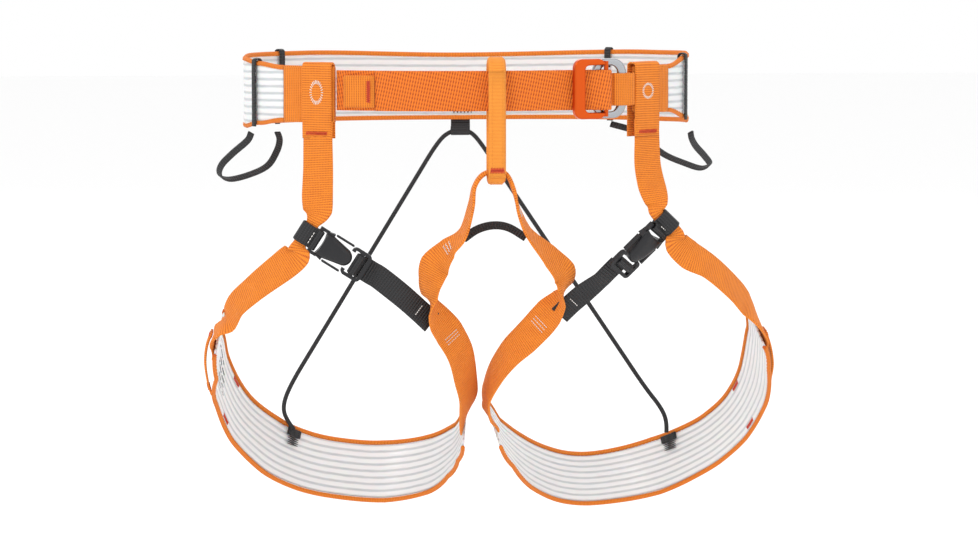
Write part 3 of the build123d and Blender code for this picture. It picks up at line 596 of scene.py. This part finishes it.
riser_runs = {
    "right": (((-108.6, -64.2, -15), (87, -49, 0), 1, 1.2), ((-109, -65, -27.5), (87, -49, 0), 1, 1.2),
              ((-109, -67, -44), (90, -44, 0), 1, 1.1), ((-109.8, -72, -62), (92, -36, -8), 1, 1),
              ((-110, -76.2, -73), (88, -20, -42), 0.9, 1.2), (*in_eye("right", 8.0), 0.42, 1.8),
              (*in_eye("right", -8.0), 0.42, 1.8), ((-123.5, -77, -100.5), (80, -20, -56), 0.9, 1.2),
              ((-130, -74.5, -106.5), (62, -44, -65), 1, 1.1), ((-141, -69, -115.5), (50, -60, -62), 1, 1),
              ((-152, -63, -125), (42, -70, -56), 1, 1), ((-162, -56, -135), (40, -79, -47), 1, 1),
              ((-167, -49, -146), (43, -89, -13), 1, 1),
              ((-172.6, -44, -151.5), (10, -98, -10), 1, 1), ((-176, -37, -157), (-10, -99, -8), 1, 1),
              ((-175.7, -25, -166), (-10, -99, -10), 1, 1)),
    "left": (((106.2, -59, -15), (83, 56, 0), 1, 1.2), ((106.5, -60, -27.5), (83, 56, 0), 1, 1.2),
             ((106.5, -63, -44), (86, 50, 0), 1, 1.1), ((108.6, -70, -58.5), (84, 48, 20), 1, 1),
             ((111, -76.5, -69), (76, 16, 52), 0.7, 1.3), (*in_eye("left", -8.0, -1), 0.42, 1.8),
             (*in_eye("left", 8.0, -1), 0.42, 1.8), ((124, -76.5, -95), (58, 26, 74), 0.86, 1.2),
             ((132.5, -73.5, -103), (45, 40, 78), 1, 1.1), ((144, -69, -109.5), (44, 68, 59), 1, 1),
             ((156, -63, -119), (44, 75, 50), 1, 1), ((166, -56, -128.5), (47, 81, 36), 1, 1),
             ((174, -49, -138), (44, 84, 33), 1, 1),
             ((182.5, -43, -149), (16, 96, 14), 1, 1), ((187, -35, -157.5), (-4, 99, 5), 1, 1),
             ((188.8, -24, -166.5), (-10, 99, 8), 1, 1))}
thread_white = textured("white_thread", (0.85, 0.83, 0.8), (0.6, 0.56, 0.5), 0.6, 0.5, 0.5, 0.0001)
fold_at = {"right": front_angle(-108.2), "left": front_angle(103.7)}
for side in ("right", "left"):
    foot, out = waist_point(fold_at[side])
    along_belt = Vector((0, 0, 1)).cross(out)
    top = belt_height(fold_at[side] % 360 if side == "right" else fold_at[side])[1] + 0.8
    front = 5.0 if side == "left" else 2.9
    back = -2.9
    route = [(front - 0.2, -26.4), (front, -12), (front, 4), (front, top - 4), (front - 0.4, top),
             ((front + back) / 2, top + 1.0), (back + 0.4, top), (back, top - 4), (back, 4),
             (back, -12), (back, -26.4)]
    stations = [(tuple(foot + out * n + Vector((0, 0, z))), tuple(along_belt)) for n, z in route]
    fold_rows = smooth_rows(stations, tape_half)
    fold = skin(f"riser_fold_{side}_webbing", fold_rows, 1.5, webbing, ripple=0.07)
    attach(fold, "waist")
    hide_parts(f"riser_fold_{side}")
    strap = skin(f"riser_strap_{side}_webbing", smooth_rows(riser_runs[side], tape_half, 6), 1.5,
                 webbing, ripple=0.1)
    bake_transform(strap)
    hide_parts(f"riser_strap_{side}")
    # ring of white stitches, then a bar tack below the belt
    high, wide = (7.5, 4.6) if side == "right" else (5.0, 4.6)
    centre = foot + out * (front + 0.85) + Vector((0, 0, 3.5))
    ring = []
    for k in range(26):
        turn = 2 * math.pi * k / 26
        spoke = along_belt * math.cos(turn) * wide + Vector((0, 0, 1)) * math.sin(turn) * high
        ring.append((centre + spoke * 0.72, centre + spoke * 1.08, out))
    marks = stitch_mesh(f"riser_fold_{side}_ring", ring, 0.28, thread_white)
    low = foot + out * (front + 0.75) + Vector((0, 0, -23.0))
    bars = [(low + along_belt * (x - 0.35) + Vector((0, 0, -1.3)),
             low + along_belt * (x + 0.35) + Vector((0, 0, 1.3)), out)
            for x in [i * 0.9 - 7.2 for i in range(17)]]
    bar = stitch_mesh(f"riser_fold_{side}_tack", bars, 0.3, tack_red)
    for item in (marks, bar):
        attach(item, "waist")

# --- leg bands: laminate --------------------------------------------------------------
# The same milky laminate as the belt, 37 mm wide between bound edges, under each thigh;
# its strands run round the leg as ridges.
band_runs = {
    "right": (((-172.5, -32, -156), (-13, -99, -7)), ((-173, -18, -171.5), (-9, -99, -12)),
              ((-170, 10, -192), (-28, -91, -31)), ((-157.5, 36, -220), (-38, -78, -49)),
              ((-136, 57, -242), (-31, -52, -80)), ((-114, 71, -254.5), (-20, -42, -88)),
              ((-89, 80, -261.5), (-8, -40, -91)), ((-57, 83, -264.5), (6, -36, -93)),
              ((-28, 71, -258.5), (6, -55, -83)), ((-13, 49, -246), (-5, -80, -60)),
              ((-8, 26, -232), (-10, -88, -46)), ((-7.5, 6, -220), (-9, -88, -46))),
    "left": (((183.5, -31, -155), (3, -99, -5)), ((187, -18, -171), (15, -98, -11)),
             ((188, 10, -197), (30, -93, -22)), ((181, 34, -221), (30, -84, -44)),
             ((167, 53, -239.5), (25, -75, -58)), ((150, 66, -252), (17, -65, -71)),
             ((130, 77, -262), (12, -56, -82)), ((105, 84, -269), (5, -62, -78)),
             ((80, 82, -271), (-6, -67, -74)), ((58, 70, -266), (-14, -73, -67)),
             ((38, 50, -254.5), (-16, -83, -53)), ((22, 28, -238.5), (-6, -93, -36)),
             ((11.5, 8, -222.5), (-3, -95, -32)))}
band_half, edge_shift = 18.5, 20.3
band_rows = {side: smooth_rows(band_runs[side], band_half, 7) for side in band_runs}
for side, rows in band_rows.items():
    band = skin(f"leg_band_{side}_laminate", rows, 1.0, laminate, ridges=8, ridge=0.35)
    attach(band, "leg_loops")
    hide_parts(f"leg_band_{side}")

# --- leg bands: bound edges -----------------------------------------------------------
# Orange binding sewn over the upper and lower edge of each leg band, with the seam's
# thread showing on both faces; red bar tacks hold the layers at two places.
for side, rows in band_rows.items():
    for name, sign in (("upper", -1), ("lower", 1)):
        edge = skin(f"leg_band_{side}_binding_{name}", rows, 2.6, binding, shift=sign * edge_shift,
                    half=1.65)
        x = sign * (edge_shift - 0.9)
        thread = stitch_mesh(f"leg_band_{side}_binding_{name}_thread",
                             seam(rows, x, 1.28) + seam(rows, x, -1.28), 0.22, thread_orange)
        for item in (edge, thread):
            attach(item, "leg_loops")
        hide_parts(f"leg_edging_{name}_{side}")
    at = {"right": 78.0, "left": 84.0}[side]
    marks = [t for x in (-16.0, 16.0) for lift in (-0.9, 0.9)
             for t in tack(rows, at, x, 3.0, 10.0, lift, 14, turned=True)]
    tacks = stitch_mesh(f"leg_band_{side}_tacks", marks, 0.35, tack_red)
    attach(tacks, "leg_loops")

# Plain grey bars stand where the care print is, on the inner face of the right band.
ink = plain("grey_ink", (0.16, 0.19, 0.2), 0.7)[0]
bars = []
for x, first, last in ((-9.0, 24, 50), (-5.0, 30, 56), (-1.0, 30, 58), (3.0, 36, 60), (7.0, 40, 62)):
    for at in range(first, last, 3):
        if (at // 3 + round(x)) % 5:
            a = on_face(band_rows["right"], at, x, -0.52)
            bars.append((a[0], on_face(band_rows["right"], at + 3.2, x, -0.52)[0], -a[3]))
print_bars = stitch_mesh("leg_band_right_bars", bars, 0.55, ink)
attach(print_bars, "leg_loops")

# --- side tabs ------------------------------------------------------------------------
# Narrow orange tapes sewn at both ends to the outside of each leg band, where the riser
# meets it, with red bar tacks.
tab_runs = {"right": (((-176.8, -16, -156), (0, 1, 0)), ((-180.4, -15, -166), (0, 1, 0)),
                      ((-181.5, -14, -178), (0, 1, 0)), ((-179.5, -12, -192), (0, 1, 0)),
                      ((-177.6, -11, -198), (0, 1, 0))),
            "left": (((191, -16, -158), (0, 1, 0)), ((195, -14, -170), (0, 1, 0)),
                     ((196.8, -12, -181), (0, 1, 0)), ((196, -10, -190), (0, 1, 0)),
                     ((194.2, -9, -197), (0, 1, 0)))}
for side in tab_runs:
    rows = smooth_rows(tab_runs[side], 6.0, 6)
    tab = skin(f"side_tab_{side}_tape", rows, 1.5, webbing)
    lift = 0.9 if side == "left" else -0.9
    marks = stitch_mesh(f"side_tab_{side}_tacks", tack(rows, 3.0, 0, 9, 3, lift, 14)
                        + tack(rows, rows[-1][3] - 5.0, 0, 9, 3, lift, 14)
                        + tack(rows, 3.0, 0, 9, 3, -lift, 14)
                        + tack(rows, rows[-1][3] - 5.0, 0, 9, 3, -lift, 14), 0.3, tack_red)
    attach(tab, "leg_loops")
    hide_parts(f"side_tab_{side}")
    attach(marks, "leg_loops")

# --- tie strap ------------------------------------------------------------------------
# One 21 mm orange tape from leg band to leg band; it passes up through the belay loop,
# where it is gathered, and twists on its way down.
tie_run = (((-8.5, 6, -222), (13, 99, 9), 1, 1), ((-6.7, -14, -204), (49, 87, 0), 1, 1),
           ((-9.9, -30, -187), (63, 77, -5), 1, 1), ((-14.6, -44, -170), (79, 61, 12), 1, 1),
           ((-22.5, -54, -155.5), (86, 40, 33), 1, 1), ((-30, -61.5, -145.5), (72, 68, 12), 1, 1),
           ((-34.5, -66, -137), (40, 90, 4), 1, 1), ((-36.8, -68, -130), (-40, 91, 0), 1, 1),
           ((-36.8, -70, -120.5), (-62, 76, 5), 1, 1), ((-33.6, -74, -109), (-86, 42, -28), 1, 1),
           ((-25, -78, -97.5), (-58, 80, -10), 1, 1), ((-16, -82, -87.5), (-14, 98, 12), 1, 1),
           ((-11, -85, -70), (-9, 99, 10), 0.85, 1.1), ((-9, -86.5, -57), (0, 1, 0), 0.55, 1.6),
           ((-3.5, -86.8, -49), (0, 1, 0), 0.36, 2.0), ((5, -86.8, -46.9), (0, 1, 0), 0.36, 2.0),
           ((11.8, -86.8, -49), (0, 1, 0), 0.36, 2.0), ((16.5, -86.5, -59), (0, 1, 0), 0.55, 1.6),
           ((20.3, -85.5, -74), (15, 99, 8), 0.85, 1.1), ((27.5, -82, -88.5), (25, 96, 12), 1, 1),
           ((41, -78, -103), (50, 80, 30), 1, 1), ((51, -73, -115), (76, 62, 10), 1, 1),
           ((51.5, -70, -124.5), (46, 88, 5), 1, 1), ((48.5, -67.5, -132), (-40, 90, 14), 1, 1),
           ((42, -64.5, -141), (-76, 54, 36), 1, 1), ((36, -60, -149), (-78, 40, 48), 1, 1),
           ((27.5, -54, -159), (-70, 52, 48), 1, 1), ((17.5, -45, -170), (-50, 72, 47), 1, 1),
           ((9.5, -33, -184), (-33, 88, 32), 1, 1), ((5, -18, -199), (-12, 98, 15), 1, 1),
           ((6.5, -4, -213), (-3, 100, 6), 1, 1), ((11, 6, -221), (0, 100, 0), 1, 1))
tie_rows = smooth_rows(tie_run, tape_half, 6)
tie = skin("leg_tie_strap_webbing", tie_rows, 1.5, webbing, ripple=0.08)
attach(tie, "leg_loops")
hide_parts("leg_tie_strap")


def nearest(rows, point):
    """Distance along a tape to its place nearest to a point."""
    return min(rows, key=lambda row: (row[0] - Vector(point)).length)[3]


def cross_lines(rows, middle, length, count, pitch, lift, wavy=0.0):
    """Lines of stitches across a tape, one beside the other along it."""
    stitches = []
    for i in range(count):
        at = middle + (i - (count - 1) / 2) * pitch
        x = -length / 2
        while x < length / 2 - 0.8:
            skip = wavy if round(x / 1.6) % 2 else -wavy
            a = on_face(rows, at + skip, x, lift)
            stitches.append((a[0], on_face(rows, at - skip, x + 1.3, lift)[0], a[3]))
            x += 1.6
    return stitches


tie_places = (((-25, -78, -97.5), 9.0, 3, 2.2, 0.5), ((-20, -54, -156), 11.0, 3, 2.4, 0.0),
              ((20.3, -85.5, -74), 8.0, 3, 2.0, 0.5), ((36, -60, -149), 11.0, 3, 2.4, 0.0))
tie_marks = [s for place, length, count, pitch, wavy in tie_places for lift in (0.95, -0.95)
             for s in cross_lines(tie_rows, nearest(tie_rows, place), length, count, pitch, lift, wavy)]
tie_thread = stitch_mesh("leg_tie_strap_thread", tie_marks, 0.26, thread_white)
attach(tie_thread, "leg_loops")

# --- spacer elastic -------------------------------------------------------------------
# A short black elastic tape that keeps the two leg loops the right way apart, behind the
# tie strap.
black_web = textured("black_webbing", (0.016, 0.016, 0.018), (0.002, 0.002, 0.0025), 0.6, 1.9, 1.4,
                     0.0006, sheen=0.04)
spacer_run = (((-15, -71, -92), (0, 60, 80)), ((-5.5, -68.5, -86), (0, 60, 80)),
              ((5, -67.5, -83.5), (0, 60, 80)), ((15, -68.5, -85), (0, 60, 80)),
              ((26, -71, -91.5), (0, 60, 80)))
spacer = skin("leg_spacer_tape", smooth_rows(spacer_run, 3.1, 6), 1.5, black_web)
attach(spacer, "leg_loops")
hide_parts("leg_spacer_elastic")

# --- belay loop -----------------------------------------------------------------------
# A ring of webbing in a smooth orange sleeve, 11.4 mm wide, round the waist strap and the
# tie strap; two rows of thread run along it.
belay_x, belay_y, belay_top, belay_bottom = 5.1, -86.8, 27.2, -55.6
belay_mid, belay_reach = 7.7, 7.7
loop_line = []
for k in range(13):
    turn = math.pi * k / 12
    loop_line.append((belay_x, belay_y - belay_mid * math.cos(turn),
                      belay_top - 2.0 - belay_reach + belay_reach * math.sin(turn)))
for k in range(13):
    turn = math.pi * k / 12
    loop_line.append((belay_x, belay_y + belay_mid * math.cos(turn),
                      belay_bottom + 2.0 + belay_reach - belay_reach * math.sin(turn)))
loop_line.append(loop_line[0])
sleeve = textured("sleeve_webbing", (0.87, 0.32, 0.03), (0.66, 0.15, 0.008), 0.75, 0.9, 0.7, 0.0002,
                  sheen=0.05)
belay_rows = smooth_rows([(p, (1, 0, 0)) for p in loop_line], 5.7, 4)
belay = skin("belay_loop_sleeve", belay_rows, 3.9, sleeve, ripple=0.05)
belay_thread = stitch_mesh("belay_loop_thread", [s for x in (-3.4, 3.4) for lift in (2.0, -2.0)
                                                  for s in seam(belay_rows, x, lift)], 0.22, thread_orange)
belay_tack = stitch_mesh("belay_loop_tack", tack(
    belay_rows, nearest(belay_rows, (belay_x, belay_y - belay_mid, -46.0)), 0.0, 9.0, 4.0, 2.15, 18)
    + tack(belay_rows, nearest(belay_rows, (belay_x, belay_y - belay_mid, -46.0)), 0.0, 9.0, 4.0,
           -2.15, 18), 0.26, tack_red)
for item in (belay, belay_thread, belay_tack):
    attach(item, "belay")
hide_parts("belay_loop")

# --- leg buckle loops -----------------------------------------------------------------
# Short black webbing loops, 14 mm wide: one eye round the riser, the other round the
# socket's bar, with a line of white thread between them.
for side in ("right", "left"):
    def eye(twist, centre, reach, rise, start, end):
        return [(tuple(local(side, centre + reach * math.cos(math.radians(a)), 0,
                             rise * math.sin(math.radians(a)), twist)), tuple(local(
                                 side, 0, 1, 0, twist) - local(side, 0, 0, 0, twist)))
                for a in range(start, end + 1, 30)]
    ring = eye(loop_twist[side], -7.6, 5.4, 3.3, 0, 360)
    big = skin(f"buckle_loop_{side}_webbing", smooth_rows(ring, 7.0, 4), 1.3, black_web)
    ring = eye(0, -0.6, 2.6, 2.8, 0, 360)
    small = skin(f"buckle_loop_{side}_bar_eye", smooth_rows(ring, 7.0, 4), 1.3, black_web)
    line = [(local(side, -3.9, y, 3.75), local(side, -3.9, y + 1.6, 3.75), axes[side][3])
            for y in (-4.4, -2.2, 0.0, 2.2)]
    marks = stitch_mesh(f"buckle_loop_{side}_thread", line, 0.3, thread_white)
    for item in (big, small, marks):
        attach(item, "leg_loops")
    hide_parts(f"buckle_loop_{side}")

# --- leg buckles: housings, plugs and arms --------------------------------------------
# Side release buckles in charcoal nylon: a domed housing, a plug that slides out of it
# with two pinch arms. The moulding is satin with a fine grain.
nylon, shader = plain("charcoal_nylon", (0.009, 0.009, 0.011), 0.38)
shader.inputs["Specular IOR Level"].default_value = 0.4
nodes, links = nylon.node_tree.nodes, nylon.node_tree.links
place = nodes.new("ShaderNodeTexCoord")
pits = nodes.new("ShaderNodeTexNoise")
pits.inputs["Scale"].default_value = 1500.0
links.new(place.outputs["Object"], pits.inputs["Vector"])
skin_bump = nodes.new("ShaderNodeBump")
skin_bump.inputs["Strength"].default_value = 0.15
skin_bump.inputs["Distance"].default_value = 0.0001
links.new(pits.outputs["Fac"], skin_bump.inputs["Height"])
links.new(skin_bump.outputs["Normal"], shader.inputs["Normal"])
for side in ("right", "left"):
    for node in ("leg_buckle_socket_", "leg_buckle_plug_", "leg_buckle_arm_upper_",
                 "leg_buckle_arm_lower_"):
        keep_cad(node + side, nylon)


def shield(name, side, face, crown):
    """Domed cover of a housing: hollow at its neck, narrowing to a rounded nose, in one shell."""
    around, length_cells = 12, 16
    verts, faces, uvs = [], [], []
    for layer in (0, 1):
        for i in range(length_cells + 1):
            u = i / length_cells
            for k in range(around + 1):
                v = 2 * k / around - 1
                neck, nose = 4.9 - 1.4 * v * v, 26.3 - 3.4 * v * v
                x = neck + (nose - neck) * u
                y = v * (8.0 - 2.9 * max(0.0, (x - 9.0) / 15.0))
                rise = min(1.0, 0.55 + 1.8 * u) * (1 - max(0.0, (u - 0.6) / 0.4) ** 2 * 0.9)
                z = 2.45 + (crown * rise * (1 - v ** 4) ** 0.7 if layer == 0 else -0.15)
                verts.append(local(side, x, y, z * face) / 1000)
                uvs.append((x, y))
    wide = around + 1
    sheet = wide * (length_cells + 1)
    for i in range(length_cells):
        for k in range(around):
            a = i * wide + k
            top = (a, a + wide, a + wide + 1, a + 1)
            faces += [top, tuple(reversed([c + sheet for c in top]))]
    rim = ([k for k in range(wide)] + [i * wide + around for i in range(1, length_cells + 1)]
           + [length_cells * wide + k for k in range(around - 1, -1, -1)]
           + [i * wide for i in range(length_cells - 1, 0, -1)])
    faces += [(a, b, b + sheet, a + sheet) for a, b in zip(rim, rim[1:] + rim[:1])]
    if face < 0:
        faces = [tuple(reversed(f)) for f in faces]
    return build(name, verts, faces, uvs, nylon)


for side in ("right", "left"):
    for place_name, face, crown in (("front", 1, 2.7), ("back", -1, 1.3)):
        dome = shield(f"leg_buckle_shield_{place_name}_{side}", side, face, crown)
        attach(dome, "leg_loops")

# --- leg straps and their wraps -------------------------------------------------------
# Black 15 mm ribbed webbing: a wrap round each plug's middle bar, and the strap that runs
# on from it to the tie strap, where it is sewn down.
strap_ends = {"right": (((-54.5, -71, -129), (54, 20, 80)), ((-44.5, -68, -138), (60, 25, 75)),
                        ((-35, -64, -147), (66, 25, 70))),
              "left": (((64.5, -68.5, -128), (50, 40, -76)), ((56.5, -67, -135), (55, 40, -72)),
                       ((48.5, -65, -143), (58, 40, -70)))}
for side in ("right", "left"):
    ay = axes[side][2]
    start = [(tuple(local(side, reach, 0, -4.6)), tuple(ay)) for reach in (33.5, 38, 43, 50)]
    rows = smooth_rows([*start, *strap_ends[side]], 7.75, 5)
    strap = skin(f"leg_strap_{side}_webbing", rows, 1.4, black_web, ripple=0.08)
    marks = stitch_mesh(f"leg_strap_{side}_thread",
                        [s for lift in (0.85, -0.85)
                         for s in cross_lines(rows, rows[-1][3] - 13.0, 8.0, 1, 1.0, lift)],
                        0.3, thread_white)
    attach(marks, "leg_loops")
    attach(strap, "leg_loops")
    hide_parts(f"leg_strap_{side}")
    ring = [(tuple(local(side, 30.8 + 2.5 * math.cos(math.radians(a)), 0,
                         2.55 * math.sin(math.radians(a)))), tuple(ay)) for a in range(0, 361, 30)]
    wrap = skin(f"strap_wrap_{side}_webbing", smooth_rows(ring, 7.1, 4), 1.2, black_web)
    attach(wrap, f"plug_{side}")
    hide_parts(f"strap_wrap_{side}")

# --- gear loops -----------------------------------------------------------------------
# Thin black tape folded over the belt at two places on each side, and a bow of the same
# tape hanging between them.
gear_places = {"right": (198.0, 146.0), "left": (-16.0, 46.0)}
gear_runs = {
    "right": ((-150.8, -27.3, -24.6), (-153.5, -26, -30), (-163, -17, -39), (-170, -10, -47),
              (-171, -2, -54), (-164, 6, -57.5), (-150, 17, -55), (-138, 29, -50), (-131.5, 39, -41),
              (-129.3, 45.8, -34), (-130.6, 49.6, -28.9)),
    "left": ((140, -23.2, -26), (141.2, -20.5, -30.5), (145, -13, -36), (152.5, -2, -43.5),
             (157, 7, -49.5), (152, 16, -52.5), (143, 27, -50), (131, 41, -45), (121, 54, -37),
             (112.5, 61.5, -30), (97, 66, -25.4))}
tab_gap = 2.5
gear_across = {"right": (-74, 23, 59), "left": (72, 18, 66)}
for side in ("right", "left"):
    for name, angle in zip(("front", "rear"), gear_places[side]):
        low, high = belt_height(angle)
        foot, out = waist_point(angle)
        along_belt = Vector((0, 0, 1)).cross(out)
        route = [(tab_gap, low - 0.8), (tab_gap, 0), (tab_gap, high - 2), (1.9, high + 0.5),
                 (0, high + 1.1), (-1.9, high + 0.5), (-tab_gap, high - 2), (-tab_gap, high - 12)]
        rows = smooth_rows([(tuple(foot + out * n + Vector((0, 0, z))), tuple(along_belt))
                            for n, z in route], 2.3)
        tab = skin(f"gear_tab_{name}_{side}_tape", rows, 1.1, black_web)
        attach(tab, "waist")
        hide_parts(f"gear_tab_{name}_{side}")
    rows = smooth_rows([(p, gear_across[side]) for p in gear_runs[side]], 2.3, 6)
    bow = skin(f"gear_loop_{side}_tape", rows, 1.5, black_web)
    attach(bow, f"gear_loop_{side}")
    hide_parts(f"gear_loop_{side}")

# --- rear cord tab and cord anchors ---------------------------------------------------
# A short black tab sewn inside the belt's back edge carries the elastic cord; two small
# black patches with zigzag stitches hold its ends on the leg bands.
tab_line = [(-3.8, 88.6, -19.2), (-3.8, 88.7, -24), (-3.8, 88.3, -28), (-3.8, 88.5, -31),
            (-3.8, 90, -33.4), (-3.8, 92.4, -33.2), (-3.8, 93.9, -31), (-3.8, 92.4, -28.2),
            (-3.8, 90, -27.2), (-3.8, 89.6, -24), (-3.8, 89.6, -20)]
tab_rows = smooth_rows([(p, (1, 0, 0)) for p in tab_line], 6.5, 4)
rear_tab = skin("rear_cord_tab_tape", tab_rows, 0.9, black_web)
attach(rear_tab, "waist")
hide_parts("rear_cord_tab")
black_thread = textured("black_thread", (0.03, 0.03, 0.03), (0.008, 0.008, 0.008), 0.6, 0.5, 0.5, 0.0001)
zigzag, x, up = [], -9.8, True
while x < 2.2:
    z = (-14.5, -18.5) if up else (-18.5, -14.5)
    for y, out in ((84.7, (0, -1, 0)), (87.3, (0, 1, 0))):
        zigzag.append((Vector((x, y, z[0])), Vector((x + 1.2, y, z[1])), Vector(out)))
    x, up = x + 1.2, not up
belt_marks = stitch_mesh("rear_cord_tab_thread", zigzag, 0.3, black_thread)
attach(belt_marks, "waist")
anchor_at = {"right": 4.5, "left": 5.5}
for side in ("right", "left"):
    rows = band_rows[side]
    side_dir, along, middle = rows[round(anchor_at[side] * 7)][1:4]
    inward = -1 if side == "right" else 1
    patch_rows = [(on_face(rows, middle + d, -15.8, 2.2 * inward)[0], side_dir, along, d + 6, 2.7, 1.0)
                  for d in (-6, -4, -2, 0, 2, 4, 6)]
    patch = skin(f"cord_anchor_{side}_patch", patch_rows, 1.2, black_web)
    marks = stitch_mesh(f"cord_anchor_{side}_thread",
                        tack(rows, middle, -12.0, 11.0, 10.0, 2.6 * inward, 16), 0.3, black_thread)
    for item in (patch, marks):
        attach(item, "leg_loops")
    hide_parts(f"cord_anchor_{side}")
